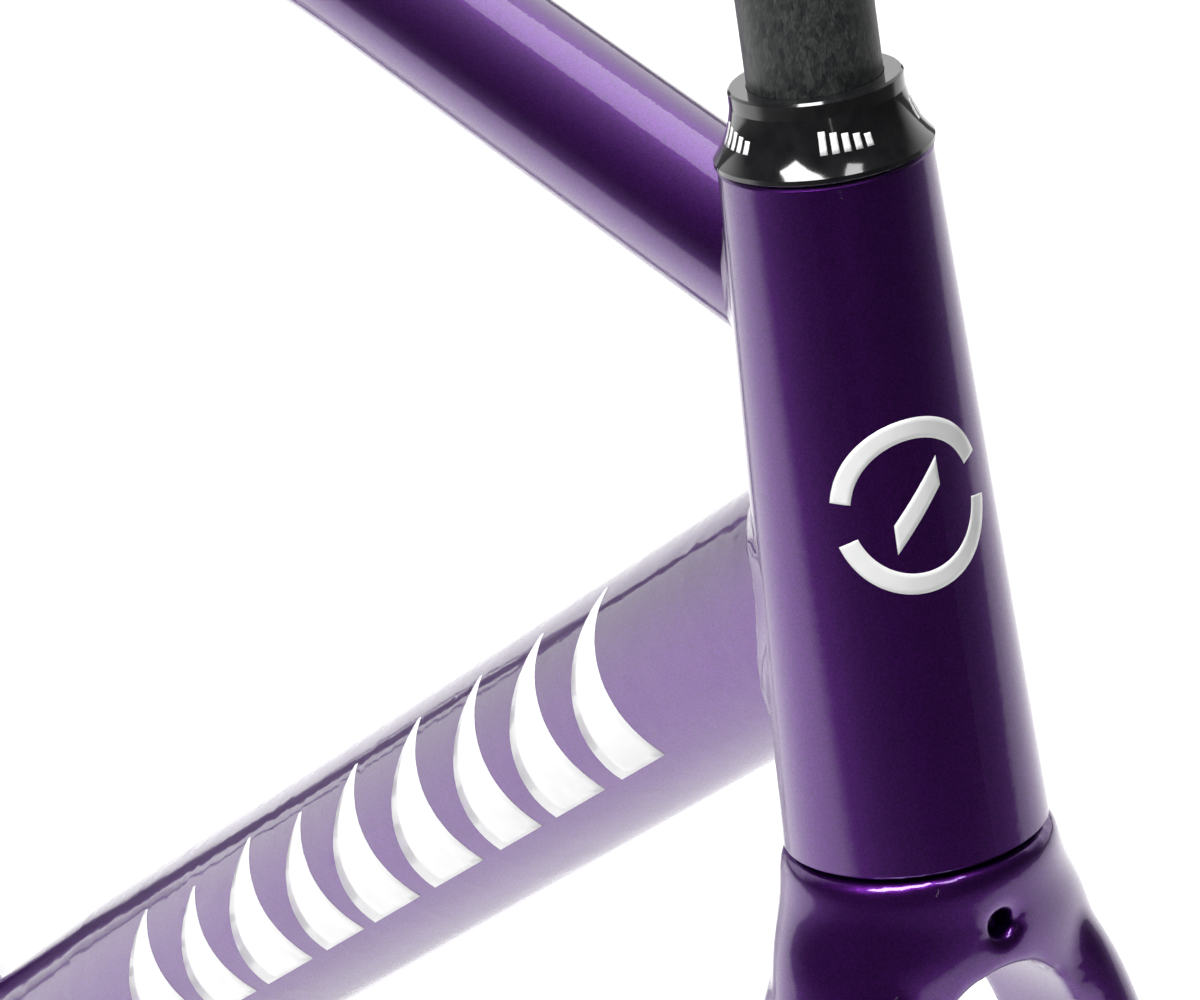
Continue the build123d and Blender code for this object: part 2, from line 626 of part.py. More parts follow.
def seat_clamp():
    """Split collar round the seat tube's top, with two ears at the back."""
    outer_radius = SEAT_TUBE_RADIUS + CLAMP_WALL
    collar = Pos(0, 0, -CLAMP_HEIGHT) * Cylinder(outer_radius, CLAMP_HEIGHT, align=(CENTRE, CENTRE, LOW))
    ears = box_between(
        (SEAT_TUBE_RADIUS, -CLAMP_EAR_HALF_WIDTH, -CLAMP_HEIGHT),
        (outer_radius + CLAMP_EAR_REACH, CLAMP_EAR_HALF_WIDTH, 0),
    )
    ears = fillet(ears.edges().filter_by(Axis.Y).group_by(Axis.X)[-1], CLAMP_EAR_REACH / 3)
    gap = box_between(
        (0, -CLAMP_GAP / 2, -CLAMP_HEIGHT - 1),
        (outer_radius + CLAMP_EAR_REACH + 1, CLAMP_GAP / 2, 1),
    )
    bore = rod(Vector(0, 0, -CLAMP_HEIGHT - 1), Vector(0, 0, 1), SEAT_TUBE_RADIUS)
    rearward, up = clamp_bolt_place()
    hole = rod(Vector(rearward, -20, up), Vector(rearward, 20, up), CLAMP_BOLT_RADIUS + CLAMP_BOLT_CLEARANCE)
    return seat_plane().location * (collar + ears - gap - bore - hole)


def seat_clamp_bolt():
    """Socket screw across the clamp's ears."""
    rearward, up = clamp_bolt_place()
    side = CLAMP_EAR_HALF_WIDTH
    shank = rod(Vector(rearward, -side - CLAMP_NUT_LENGTH, up), Vector(rearward, side, up), CLAMP_BOLT_RADIUS)
    head = rod(Vector(rearward, side, up), Vector(rearward, side + CLAMP_HEAD_LENGTH, up), CLAMP_HEAD_RADIUS)
    head_end = Vector(rearward, side + CLAMP_HEAD_LENGTH, up)
    key = rod(Vector(rearward, side + 1, up), head_end, CLAMP_KEY_RADIUS)
    return seat_plane().location * (shank + head - key)


def seat_clamp_nut():
    """Round nut on the clamp's far side."""
    rearward, up = clamp_bolt_place()
    near = Vector(rearward, -CLAMP_EAR_HALF_WIDTH, up)
    far = Vector(rearward, -CLAMP_EAR_HALF_WIDTH - CLAMP_NUT_LENGTH, up)
    return seat_plane().location * (rod(near, far, CLAMP_NUT_RADIUS) - rod(near, far, CLAMP_BOLT_RADIUS))


# ---- Headset, drawn in the steering frame ----
def ball_groove(pitch_radius, height):
    """Torus that a row of balls runs in."""
    return Pos(0, 0, height) * Torus(pitch_radius, BALL_RADIUS + BALL_CLEARANCE)


def bearing_cage(pitch_radius, height, count):
    """Thin ring between the bearing's rings, with a round pocket for each ball."""
    half = RING_GAP / 2 - CAGE_CLEARANCE
    ring = turned([
        (pitch_radius - half, height - CAGE_HALF_HEIGHT),
        (pitch_radius + half, height - CAGE_HALF_HEIGHT),
        (pitch_radius + half, height + CAGE_HALF_HEIGHT),
        (pitch_radius - half, height + CAGE_HALF_HEIGHT),
    ])
    pockets = []
    for i in range(count):
        outward = Vector(1, 0, 0).rotate(Axis.Z, 360 / count * i)
        near = outward * (pitch_radius - 1) + Vector(0, 0, height)
        far = outward * (pitch_radius + 1) + Vector(0, 0, height)
        pockets.append(rod(near, far, BALL_RADIUS + BALL_CLEARANCE))
    return in_steering(ring - pockets)


def upper_pitch():
    """Pitch radius of the upper bearing."""
    return (UPPER_BEARING_INNER + UPPER_BEARING_OUTER) / 2


def lower_pitch():
    """Pitch radius of the lower bearing."""
    return (LOWER_BEARING_INNER + LOWER_BEARING_OUTER) / 2


def upper_top():
    """Height of the upper bearing's top face."""
    return HEAD_LENGTH - UPPER_RECESS


def upper_middle():
    """Height of the upper bearing's balls."""
    return upper_top() - BEARING_HEIGHT / 2


def lower_middle():
    """Height of the lower bearing's balls."""
    return LOWER_RECESS + BEARING_HEIGHT / 2


def upper_bearing_inner():
    """Inner ring with a 45 degree mouth for the compression ring."""
    top = upper_top()
    bottom = top - BEARING_HEIGHT
    face = upper_pitch() - RING_GAP / 2
    ring = turned([
        (UPPER_BEARING_INNER, bottom),
        (face, bottom),
        (face, top),
        (UPPER_BEARING_INNER + RACE_CHAMFER - 0.1, top),
        (UPPER_BEARING_INNER, top - RACE_CHAMFER + 0.1),
    ])
    return in_steering(ring - ball_groove(upper_pitch(), upper_middle()))


def upper_bearing_outer():
    """Outer ring with a 45 degree lower corner that sits on the head tube's ledge."""
    top = upper_top()
    bottom = top - BEARING_HEIGHT
    face = upper_pitch() + RING_GAP / 2
    ring = turned([
        (face, bottom),
        (UPPER_BEARING_OUTER - SEAT_CHAMFER, bottom),
        (UPPER_BEARING_OUTER, bottom + SEAT_CHAMFER),
        (UPPER_BEARING_OUTER, top),
        (face, top),
    ])
    return in_steering(ring - ball_groove(upper_pitch(), upper_middle()))


def lower_bearing_inner():
    """Inner ring with a 45 degree mouth that sits on the crown race."""
    top = LOWER_RECESS + BEARING_HEIGHT
    face = lower_pitch() - RING_GAP / 2
    ring = turned([
        (LOWER_BEARING_INNER + RACE_CHAMFER, LOWER_RECESS),
        (face, LOWER_RECESS),
        (face, top),
        (LOWER_BEARING_INNER, top),
        (LOWER_BEARING_INNER, LOWER_RECESS + RACE_CHAMFER),
    ])
    return in_steering(ring - ball_groove(lower_pitch(), lower_middle()))


def lower_bearing_outer():
    """Outer ring with a 45 degree upper corner that sits against the head tube's ledge."""
    top = LOWER_RECESS + BEARING_HEIGHT
    face = lower_pitch() + RING_GAP / 2
    ring = turned([
        (face, LOWER_RECESS),
        (LOWER_BEARING_OUTER, LOWER_RECESS),
        (LOWER_BEARING_OUTER, top - SEAT_CHAMFER),
        (LOWER_BEARING_OUTER - SEAT_CHAMFER, top),
        (face, top),
    ])
    return in_steering(ring - ball_groove(lower_pitch(), lower_middle()))


def bearing_balls(pitch_radius, height, count):
    """A bearing's balls as separate solids."""
    balls = []
    for i in range(count):
        centre = Vector(pitch_radius, 0, height).rotate(Axis.Z, 360 / count * i)
        balls.append(Pos(centre.X, centre.Y, centre.Z) * Sphere(BALL_RADIUS))
    return in_steering(Compound(children=balls))


def compression_ring():
    """Split wedge between the steerer and the upper bearing's inner ring."""
    top = upper_top()
    mouth = UPPER_BEARING_INNER + RACE_CHAMFER - 0.1
    skirt = UPPER_BEARING_INNER - BEARING_SEAT_CLEARANCE
    ring = turned([
        (STEERER_RADIUS, top - COMPRESSION_DEPTH),
        (skirt, top - COMPRESSION_DEPTH),
        (skirt, top - (mouth - skirt)),
        (mouth, top),
        (mouth, top + COMPRESSION_RISE),
        (STEERER_RADIUS, top + COMPRESSION_RISE),
    ])
    half = COMPRESSION_SLIT / 2
    slit = box_between(
        (-mouth - 1, -half, top - COMPRESSION_DEPTH - 1),
        (0, half, top + COMPRESSION_RISE + 1),
    )
    return in_steering(ring - slit)


def headset_cover():
    """Conical cover with a concave flare, a short neck and a pocket underneath."""
    bottom = HEAD_LENGTH + COVER_GAP
    top = bottom + COVER_HEIGHT
    bore = STEERER_RADIUS + COVER_BORE_CLEARANCE
    foot = upper_top() + COMPRESSION_RISE
    flare_low = (COVER_BOTTOM_RADIUS, bottom + COVER_LIP)
    flare_high = (COVER_TOP_RADIUS, top - COVER_NECK)
    flare_middle = (
        (flare_low[0] + flare_high[0]) / 2 - COVER_FLARE_SAG,
        (flare_low[1] + flare_high[1]) / 2 - COVER_FLARE_SAG / 2,
    )
    rim = 0.5
    outline = [
        (bore, foot),
        (COVER_POCKET_INNER, foot),
        (COVER_POCKET_INNER, bottom + COVER_POCKET_DEPTH),
        (COVER_POCKET_OUTER, bottom + COVER_POCKET_DEPTH),
        (COVER_POCKET_OUTER, bottom),
        (COVER_BOTTOM_RADIUS - rim, bottom),
        (COVER_BOTTOM_RADIUS, bottom + rim),
        flare_low,
    ]
    upper = [
        flare_high,
        (COVER_TOP_RADIUS, top - rim),
        (COVER_TOP_RADIUS - rim, top),
        (bore, top),
        (bore, foot),
    ]
    lower_edge = Polyline([(r, 0, z) for r, z in outline])
    flare = ThreePointArc(*[(r, 0, z) for r, z in (flare_low, flare_middle, flare_high)])
    upper_edge = Polyline([(r, 0, z) for r, z in upper])
    profile = make_face(lower_edge.edges() + flare.edges() + upper_edge.edges())
    return in_steering(revolve(profile, Axis.Z, 360))


def cover_seal():
    """Rubber ring in the cover's pocket."""
    bottom = HEAD_LENGTH + COVER_GAP - COVER_SEAL_PROUD
    top = HEAD_LENGTH + COVER_GAP + COVER_POCKET_DEPTH
    return in_steering(turned([
        (COVER_POCKET_OUTER - COVER_SEAL_WIDTH, bottom),
        (COVER_POCKET_OUTER, bottom),
        (COVER_POCKET_OUTER, top),
        (COVER_POCKET_OUTER - COVER_SEAL_WIDTH, top),
    ]))


def crown_race():
    """Lower bearing race on the crown, with a 45 degree shoulder."""
    bottom = -CROWN_GAP
    flange = bottom + RACE_FLANGE_HEIGHT
    contact = LOWER_BEARING_INNER + RACE_CHAMFER + LOWER_RECESS
    tip = RACE_CHAMFER + LOWER_RECESS - 0.6
    return in_steering(turned([
        (STEERER_LOWER_RADIUS, bottom),
        (RACE_FLANGE_RADIUS, bottom),
        (RACE_FLANGE_RADIUS, flange),
        (contact - flange, flange),
        (contact - tip, tip),
        (STEERER_LOWER_RADIUS, tip),
    ]))


def lower_seal():
    """Rubber lip on the crown race's flange."""
    bottom = RACE_FLANGE_HEIGHT - CROWN_GAP
    return in_steering(turned([
        (lower_pitch(), bottom),
        (RACE_FLANGE_RADIUS, bottom),
        (RACE_FLANGE_RADIUS, bottom + SEAL_HEIGHT),
        (lower_pitch(), bottom + SEAL_HEIGHT),
    ]))


# ---- Fork, drawn in the steering frame ----
def fork_steerer():
    """Tapered steerer tube, bonded into the crown."""
    cover_top = HEAD_LENGTH + COVER_GAP + COVER_HEIGHT
    top = cover_top + STEERER_ABOVE_COVER
    bottom = -CROWN_GAP - STEERER_SOCKET
    return in_steering(turned([
        (STEERER_LOWER_RADIUS - STEERER_LOWER_WALL, bottom),
        (STEERER_LOWER_RADIUS, bottom),
        (STEERER_LOWER_RADIUS, STEERER_TAPER_START),
        (STEERER_RADIUS, STEERER_TAPER_END),
        (STEERER_RADIUS, cover_top - LIMIT_RING_WIDTH),
        (STEERER_RADIUS - LIMIT_RING_DEPTH, cover_top - LIMIT_RING_WIDTH),
        (STEERER_RADIUS - LIMIT_RING_DEPTH, cover_top),
        (STEERER_RADIUS, cover_top),
        (STEERER_RADIUS, top),
        (STEERER_RADIUS - STEERER_WALL, top),
        (STEERER_RADIUS - STEERER_WALL, STEERER_TAPER_END),
        (STEERER_LOWER_RADIUS - STEERER_LOWER_WALL, STEERER_TAPER_START),
    ]))


def leg_body(inset):
    """Left leg as one smooth bar, from its root inside the crown to just past the fork end."""
    return loft([
        ellipse_at(x, y, z, half_x - inset, half_y - inset)
        for x, y, z, half_x, half_y in LEG_SECTIONS
    ])


def between_heights(shape, low, high):
    """The piece of a shape between two heights."""
    return shape & box_between((-80, -90, low), (80, 90, high))


def fork_crown():
    """Crown: round under the head tube, spreading into the two legs over the tyre arch."""
    crown = loft([ellipse_at(0, 0, z, half_x, half_y) for z, half_x, half_y in CROWN_SECTIONS])
    leg = between_heights(leg_body(0), -CROWN_DEPTH, 0)
    body = crown + leg + mirrored(leg)
    arch_middle = ARCH_TOP - CROWN_DEPTH
    arch_plane = Plane(origin=(-60, 0, -CROWN_DEPTH), x_dir=(0, 1, 0), z_dir=(1, 0, 0))
    arch = extrude(arch_plane * Ellipse(ARCH_HALF_WIDTH, -arch_middle), amount=120)
    bottom = -CROWN_GAP - STEERER_SOCKET
    socket = rod(Vector(0, 0, bottom), Vector(0, 0, 10), STEERER_LOWER_RADIUS)
    drain = rod(Vector(0, 0, -60), Vector(0, 0, 10), STEERER_LOWER_RADIUS - STEERER_LOWER_WALL)
    hole_floor = Vector(CROWN_HOLE_FLOOR, 0, -CROWN_HOLE_DROP)
    hole_rim = Vector(CROWN_HOLE_RIM, 0, -CROWN_HOLE_DROP)
    outside = Vector(CROWN_HOLE_RIM + 5, 0, -CROWN_HOLE_DROP)
    bevel = Vector(CROWN_HOLE_RIM_RADIUS - CROWN_HOLE_RADIUS, 0, 0)
    hole = rod(hole_floor, outside, CROWN_HOLE_RADIUS)
    rim = taper(hole_rim - bevel, hole_rim, CROWN_HOLE_RADIUS, CROWN_HOLE_RIM_RADIUS)
    clear = rod(hole_rim, outside, CROWN_HOLE_RIM_RADIUS)
    return in_steering(body - arch - socket - drain - hole - rim - clear)


def fork_leg_left():
    """Hollow left leg below the crown."""
    outer = between_heights(leg_body(0), -LEG_END, -CROWN_DEPTH)
    inner = between_heights(leg_body(LEG_WALL), -LEG_END - 1, 1 - CROWN_DEPTH)
    return in_steering(outer - inner)


def fork_dropout_left():
    """Left fork end: boss for a through axle, pinch ears below it, and a spigot inside the leg."""
    inner = FRONT_HUB_WIDTH / 2
    outer = inner + FORK_BOSS_WIDTH
    x, y, z, half_x, half_y = LEG_SECTIONS[-2]
    neck_end = ellipse_at(
        FORK_OFFSET - 1,
        (inner + outer) / 2,
        -FORK_LENGTH,
        FORK_BOSS_RADIUS - FORK_NECK_INSET,
        FORK_BOSS_WIDTH / 2 - 0.1,
    )
    neck = in_steering(loft([ellipse_at(x, y, z, half_x, half_y), neck_end]))
    plug = leg_body(LEG_WALL + SPIGOT_CLEARANCE)
    spigot = in_steering(between_heights(plug, -LEG_END, FORK_SPIGOT - LEG_END))
    axle = FRONT_AXLE.X, FRONT_AXLE.Z
    boss = rod(Vector(axle[0], inner, axle[1]), Vector(axle[0], outer, axle[1]), FORK_BOSS_RADIUS)
    ears = box_between(
        (axle[0] - PINCH_EAR_HALF_LENGTH, inner, axle[1] - PINCH_EAR_DROP),
        (axle[0] + PINCH_EAR_HALF_LENGTH, outer, axle[1]),
    )
    ears = fillet(ears.edges().filter_by(Axis.Y).group_by(Axis.Z)[0], PINCH_EAR_CORNER)
    bore = rod(Vector(axle[0], inner - 1, axle[1]), Vector(axle[0], outer + 1, axle[1]), FRONT_AXLE_RADIUS)
    slit = box_between(
        (axle[0] - PINCH_SLIT / 2, inner - 1, axle[1] - PINCH_EAR_DROP - 1),
        (axle[0] + PINCH_SLIT / 2, outer + 1, axle[1]),
    )
    height = axle[1] - PINCH_BOLT_DROP
    middle = (inner + outer) / 2
    hole_radius = PINCH_BOLT_RADIUS + PINCH_BOLT_CLEARANCE
    past = PINCH_EAR_HALF_LENGTH + 8
    hole = rod(Vector(axle[0] - past, middle, height), Vector(axle[0] + past, middle, height), hole_radius)
    return neck + spigot + boss + ears - bore - slit - hole


def fork_pinch_bolt_left():
    """Socket screw that closes the left fork end on its axle."""
    middle = FRONT_HUB_WIDTH / 2 + FORK_BOSS_WIDTH / 2
    height = FRONT_AXLE.Z - PINCH_BOLT_DROP
    front = FRONT_AXLE.X + PINCH_EAR_HALF_LENGTH
    rear = FRONT_AXLE.X - PINCH_EAR_HALF_LENGTH + 1
    shank = rod(Vector(rear, middle, height), Vector(front, middle, height), PINCH_BOLT_RADIUS)
    head_end = Vector(front + PINCH_HEAD_LENGTH, middle, height)
    head = rod(Vector(front, middle, height), head_end, PINCH_HEAD_RADIUS)
    key = rod(Vector(front + PINCH_KEY_FLOOR, middle, height), head_end, PINCH_KEY_RADIUS)
    return shank + head - key


# ---- All nodes ----
def save(node, shape):
    """Write one node's STEP file."""
    export_step(shape, os.path.join("parts", node + ".step"))


def save_pair(name, shape):
    """Write a left node and its mirror image."""
    save(name + "_left", shape)
    save(name + "_right", mirrored(shape))


single_nodes = {
    "head_tube": head_tube(),
    "top_tube": top_tube(),
    "down_tube": down_tube(),
    "seat_tube": seat_tube(),
    "bb_shell": bb_shell(),
    "chainstay_bridge": chainstay_bridge(),
    "seatstay_bridge": seatstay_bridge(),
    "seat_clamp": seat_clamp(),
    "seat_clamp_bolt": seat_clamp_bolt(),
    "seat_clamp_nut": seat_clamp_nut(),
    "fork_steerer": fork_steerer(),
    "fork_crown": fork_crown(),
    "fork_pinch_bolts": Compound(children=[fork_pinch_bolt_left(), mirrored(fork_pinch_bolt_left())]),
    "crown_race": crown_race(),
    "lower_seal": lower_seal(),
    "headset_cover": headset_cover(),
    "cover_seal": cover_seal(),
    "compression_ring": compression_ring(),
    "upper_bearing_inner": upper_bearing_inner(),
    "upper_bearing_outer": upper_bearing_outer(),
    "upper_bearing_balls": bearing_balls(upper_pitch(), upper_middle(), UPPER_BALLS),
    "upper_bearing_cage": bearing_cage(upper_pitch(), upper_middle(), UPPER_BALLS),
    "lower_bearing_inner": lower_bearing_inner(),
    "lower_bearing_outer": lower_bearing_outer(),
    "lower_bearing_balls": bearing_balls(lower_pitch(), lower_middle(), LOWER_BALLS),
    "lower_bearing_cage": bearing_cage(lower_pitch(), lower_middle(), LOWER_BALLS),
}
paired_nodes = {
    "chainstay": chainstay_left(),
    "seatstay": seatstay_left(),
    "brake_boss": brake_boss_left(),
    "dropout": dropout_left(),
    "axle_block": axle_block_left(),
    "adjuster_stud": adjuster_stud_left(),
    "adjuster_nut": adjuster_nut_left(),
    "fork_leg": fork_leg_left(),
    "fork_dropout": fork_dropout_left(),
}
for node, shape in single_nodes.items():
    save(node, shape)
for name, shape in paired_nodes.items():
    save_pair(name, shape)
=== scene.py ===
import bmesh
import bpy
import json
import math
from mathutils import Matrix, Vector
from mathutils.bvhtree import BVHTree


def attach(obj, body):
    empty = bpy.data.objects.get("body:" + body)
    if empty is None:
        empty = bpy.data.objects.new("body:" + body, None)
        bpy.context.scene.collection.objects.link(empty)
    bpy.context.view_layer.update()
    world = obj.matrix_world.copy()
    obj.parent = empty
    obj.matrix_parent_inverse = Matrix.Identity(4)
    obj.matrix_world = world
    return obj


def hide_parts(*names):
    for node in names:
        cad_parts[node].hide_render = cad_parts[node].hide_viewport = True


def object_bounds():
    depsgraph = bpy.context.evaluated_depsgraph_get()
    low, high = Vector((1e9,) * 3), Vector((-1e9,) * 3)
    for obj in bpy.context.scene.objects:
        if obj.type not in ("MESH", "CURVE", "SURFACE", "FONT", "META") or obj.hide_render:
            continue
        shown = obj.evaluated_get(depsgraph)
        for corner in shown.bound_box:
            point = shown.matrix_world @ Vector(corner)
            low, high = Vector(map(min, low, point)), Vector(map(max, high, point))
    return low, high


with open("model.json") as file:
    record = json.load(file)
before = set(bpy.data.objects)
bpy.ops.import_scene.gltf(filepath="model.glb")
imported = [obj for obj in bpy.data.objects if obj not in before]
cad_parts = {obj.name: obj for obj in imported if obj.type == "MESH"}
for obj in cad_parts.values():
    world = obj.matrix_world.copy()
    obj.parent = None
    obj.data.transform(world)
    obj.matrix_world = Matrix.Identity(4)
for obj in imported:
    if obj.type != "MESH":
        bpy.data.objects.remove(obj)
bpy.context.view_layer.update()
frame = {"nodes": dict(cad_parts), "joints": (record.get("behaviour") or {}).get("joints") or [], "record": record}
NODES = frame["nodes"]
MM = 0.001

# ---- The steering frame: middle of the head tube, up the axis, forward, left. Places are in metres. ----
STEERING = next(joint for joint in frame["joints"] if joint["name"] == "steering")
UP = Vector(STEERING["axis"])
LEFT = Vector((0, 1, 0))
FORWARD = Vector((UP.z, 0, -UP.x))
HEAD_MIDDLE = Vector(STEERING["pos_m"])
HEAD_HALF = 0.07595
HEAD_TOP = HEAD_MIDDLE + UP * HEAD_HALF
DOWN_TUBE_DROP = 0.0898
DOWN_TUBE_TOP = HEAD_TOP - UP * DOWN_TUBE_DROP

# ---- Camera ----
CAMERA_AZIMUTH = math.radians(31.0)      # round the steering axis, from the front to the bike's right
CAMERA_ELEVATION = math.radians(19.88)   # above the plane square to the steering axis
CAMERA_ROLL = math.radians(-8.53)
CAMERA_DISTANCE = 1.4329
CAMERA_LENS = 204.0
CAMERA_SENSOR = 36.0
FRAMING_RIGHT = -0.0572                  # how far the aim lies from the head tube's middle
FRAMING_UP = -0.0010


def make_camera():
    """Camera at the photograph's viewing angle."""
    level = FORWARD * math.cos(CAMERA_AZIMUTH) - LEFT * math.sin(CAMERA_AZIMUTH)
    outward = level * math.cos(CAMERA_ELEVATION) + UP * math.sin(CAMERA_ELEVATION)
    plain_up = (UP - outward * UP.dot(outward)).normalized()
    plain_right = plain_up.cross(outward)
    right = plain_right * math.cos(CAMERA_ROLL) + plain_up * math.sin(CAMERA_ROLL)
    top = plain_up * math.cos(CAMERA_ROLL) - plain_right * math.sin(CAMERA_ROLL)
    place = HEAD_MIDDLE + outward * CAMERA_DISTANCE + right * FRAMING_RIGHT + top * FRAMING_UP
    data = bpy.data.cameras.new("camera")
    data.lens = CAMERA_LENS
    data.sensor_width = CAMERA_SENSOR
    data.clip_start = 0.05
    data.clip_end = 50
    camera = bpy.data.objects.new("camera", data)
    bpy.context.scene.collection.objects.link(camera)
    axes = Matrix((right, top, outward)).transposed().to_4x4()
    camera.matrix_world = Matrix.Translation(place) @ axes
    bpy.context.scene.camera = camera


# ---- Materials ----
def new_material(name):
    """Empty node material; returns the material, its nodes, its links and its shader."""
    material = bpy.data.materials.new(name)
    material.use_nodes = True
    nodes = material.node_tree.nodes
    return material, nodes, material.node_tree.links, nodes["Principled BSDF"]


def texture(nodes, links, kind, scale, stretch=(1, 1, 1), turn=(0, 0, 0), **settings):
    """Procedural texture in object space; its scale is in cells per metre."""
    place = nodes.new("ShaderNodeTexCoord")
    mapping = nodes.new("ShaderNodeMapping")
    mapping.inputs["Scale"].default_value = stretch
    mapping.inputs["Rotation"].default_value = turn
    links.new(place.outputs["Object"], mapping.inputs["Vector"])
    node = nodes.new(kind)
    links.new(mapping.outputs["Vector"], node.inputs["Vector"])
    node.inputs["Scale"].default_value = scale
    for name, value in settings.items():
        node.inputs[name.replace("_", " ")].default_value = value
    return node


def ramp(nodes, links, source, stops):
    """Colour ramp from (place, colour) stops."""
    node = nodes.new("ShaderNodeValToRGB")
    while len(node.color_ramp.elements) < len(stops):
        node.color_ramp.elements.new(1.0)
    for element, (place, colour) in zip(node.color_ramp.elements, stops):
        element.position = place
        element.color = (*colour, 1.0)
    links.new(source, node.inputs["Fac"])
    return node.outputs["Color"]


def value_range(nodes, links, source, low, high):
    """Map a 0 to 1 value to a range."""
    node = nodes.new("ShaderNodeMapRange")
    node.inputs["To Min"].default_value = low
    node.inputs["To Max"].default_value = high
    links.new(source, node.inputs["Value"])
    return node.outputs["Result"]


def bump(nodes, links, source, strength, distance, after=None):
    """Bump normal from a height."""
    node = nodes.new("ShaderNodeBump")
    node.inputs["Strength"].default_value = strength
    node.inputs["Distance"].default_value = distance
    links.new(source, node.inputs["Height"])
    if after is not None:
        links.new(after, node.inputs["Normal"])
    return node.outputs["Normal"]


def multiply_colour(nodes, links, first, second, amount=1.0):
    """Multiply two colours."""
    node = nodes.new("ShaderNodeMix")
    node.data_type = "RGBA"
    node.blend_type = "MULTIPLY"
    node.inputs["Factor"].default_value = amount
    links.new(first, node.inputs["A"])
    links.new(second, node.inputs["B"])
    return node.outputs["Result"]


PAINT_DARK = (0.072, 0.006, 0.155)
PAINT_LIGHT = (0.086, 0.009, 0.182)
STEER_TILT = math.atan2(-UP.x, UP.z)     # lean of the steering axis from vertical


def paint_material():
    """Deep purple metallic paint: fine bright flakes under a thick clear coat with faint orange peel."""
    material, nodes, links, shader = new_material("purple_metallic")
    cloud = texture(nodes, links, "ShaderNodeTexNoise", 14.0, Detail=2.0)
    base = ramp(nodes, links, cloud.outputs["Fac"], [(0.3, PAINT_DARK), (0.7, PAINT_LIGHT)])
    flakes = texture(nodes, links, "ShaderNodeTexVoronoi", 3600.0)
    sparkle_stops = [(0.25, (0.72, 0.70, 0.74)), (0.8, (1.25, 1.2, 1.2))]
    sparkle = ramp(nodes, links, flakes.outputs["Color"], sparkle_stops)
    links.new(multiply_colour(nodes, links, base, sparkle), shader.inputs["Base Color"])
    roughness = value_range(nodes, links, flakes.outputs["Distance"], 0.26, 0.40)
    links.new(roughness, shader.inputs["Roughness"])
    links.new(bump(nodes, links, flakes.outputs["Distance"], 0.10, 0.0002), shader.inputs["Normal"])
    peel = texture(nodes, links, "ShaderNodeTexNoise", 420.0, Detail=1.0)
    links.new(bump(nodes, links, peel.outputs["Fac"], 0.05, 0.0004), shader.inputs["Coat Normal"])
    shader.inputs["Metallic"].default_value = 0.92
    shader.inputs["Coat Weight"].default_value = 1.0
    shader.inputs["Coat Roughness"].default_value = 0.025
    shader.inputs["Coat IOR"].default_value = 1.5
    return material


def carbon_material():
    """Bare carbon steerer: chopped fibre bundles with fine grain, semi-matt."""
    material, nodes, links, shader = new_material("bare_carbon")
    turn = (0, STEER_TILT, 0)
    bundles = texture(nodes, links, "ShaderNodeTexVoronoi", 900.0, stretch=(1.0, 1.0, 0.45), turn=turn)
    tone_stops = [(0.2, (0.015, 0.017, 0.018)), (0.8, (0.042, 0.045, 0.045))]
    tone = ramp(nodes, links, bundles.outputs["Color"], tone_stops)
    grain = (1.0, 1.0, 0.25)
    fibre = texture(nodes, links, "ShaderNodeTexNoise", 2600.0, stretch=grain, turn=turn, Detail=3.0)
    streak_stops = [(0.35, (0.55, 0.55, 0.55)), (0.65, (1.35, 1.35, 1.35))]
    streak = ramp(nodes, links, fibre.outputs["Fac"], streak_stops)
    links.new(multiply_colour(nodes, links, tone, streak), shader.inputs["Base Color"])
    links.new(value_range(nodes, links, fibre.outputs["Fac"], 0.30, 0.55), shader.inputs["Roughness"])
    links.new(bump(nodes, links, fibre.outputs["Fac"], 0.25, 0.0003), shader.inputs["Normal"])
    shader.inputs["Metallic"].default_value = 0.0
    shader.inputs["Specular IOR Level"].default_value = 0.5
    return material


def plain_material(name, low, high, metallic, roughness, scale=300.0, coat=0.0, grain=0.12, depth=0.0002):
    """Solid finish whose tone, roughness and height vary finely."""
    material, nodes, links, shader = new_material(name)
    noise = texture(nodes, links, "ShaderNodeTexNoise", scale, Detail=4.0)
    tone = ramp(nodes, links, noise.outputs["Fac"], [(0.3, low), (0.7, high)])
    links.new(tone, shader.inputs["Base Color"])
    links.new(value_range(nodes, links, noise.outputs["Fac"], *roughness), shader.inputs["Roughness"])
    fine = texture(nodes, links, "ShaderNodeTexNoise", scale * 6, Detail=2.0)
    links.new(bump(nodes, links, fine.outputs["Fac"], grain, depth), shader.inputs["Normal"])
    shader.inputs["Metallic"].default_value = metallic
    shader.inputs["Coat Weight"].default_value = coat
    shader.inputs["Coat Roughness"].default_value = 0.04
    return material


PAINT = paint_material()
CARBON = carbon_material()
BLACK = plain_material(
    "black_anodised_gloss", (0.006, 0.006, 0.007), (0.012, 0.012, 0.013), 0.0, (0.07, 0.13),
    coat=0.6, grain=0.02,
)
SATIN = plain_material("dark_satin_alloy", (0.035, 0.036, 0.04), (0.055, 0.056, 0.06), 0.8, (0.32, 0.45))
STEEL = plain_material("plated_steel", (0.36, 0.36, 0.37), (0.52, 0.52, 0.53), 1.0, (0.22, 0.36))
ALLOY = plain_material("plain_alloy", (0.52, 0.52, 0.54), (0.64, 0.64, 0.66), 1.0, (0.3, 0.42))
BEARING = plain_material("bearing_steel", (0.5, 0.5, 0.5), (0.62, 0.62, 0.62), 1.0, (0.1, 0.18), grain=0.03)
NYLON = plain_material("nylon", (0.42, 0.38, 0.26), (0.5, 0.46, 0.33), 0.0, (0.45, 0.6))
RUBBER = plain_material("rubber", (0.012, 0.012, 0.012), (0.022, 0.022, 0.022), 0.0, (0.55, 0.75))
